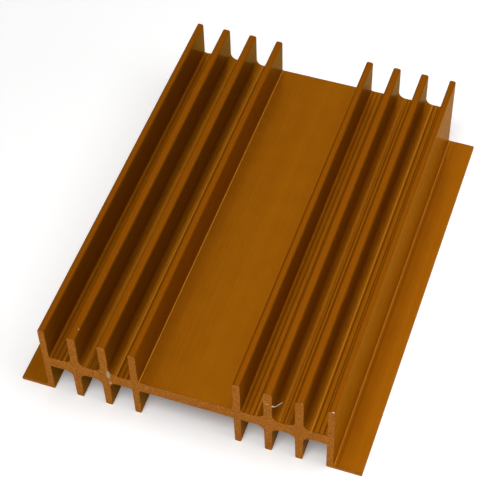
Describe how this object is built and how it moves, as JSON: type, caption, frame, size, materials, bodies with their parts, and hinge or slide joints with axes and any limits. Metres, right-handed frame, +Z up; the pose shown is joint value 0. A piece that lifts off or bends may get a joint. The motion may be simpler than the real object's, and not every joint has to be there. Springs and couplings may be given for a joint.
{
  "type": "extruded heat sink",
  "caption": "Anodised aluminium heat sink profile: a flat device channel between banks of straight fins, shorter legs below the web, and a thin mounting flange along each foot.",
  "frame": {"origin": "middle of the footprint, in the plane of the undersides of the flanges", "axes": "+Y along the extrusion, +X across the fins, +Z up from the flanges to the fin tips"},
  "size_m": [0.1202, 0.15, 0.0332],
  "materials": {
    "anodised_aluminium": "gold anodised extrusion with fine die lines along it, and matte sawn ends"
  },
  "bodies": {
    "root": {"heat_sink": "anodised_aluminium"}
  },
  "joints": []
}
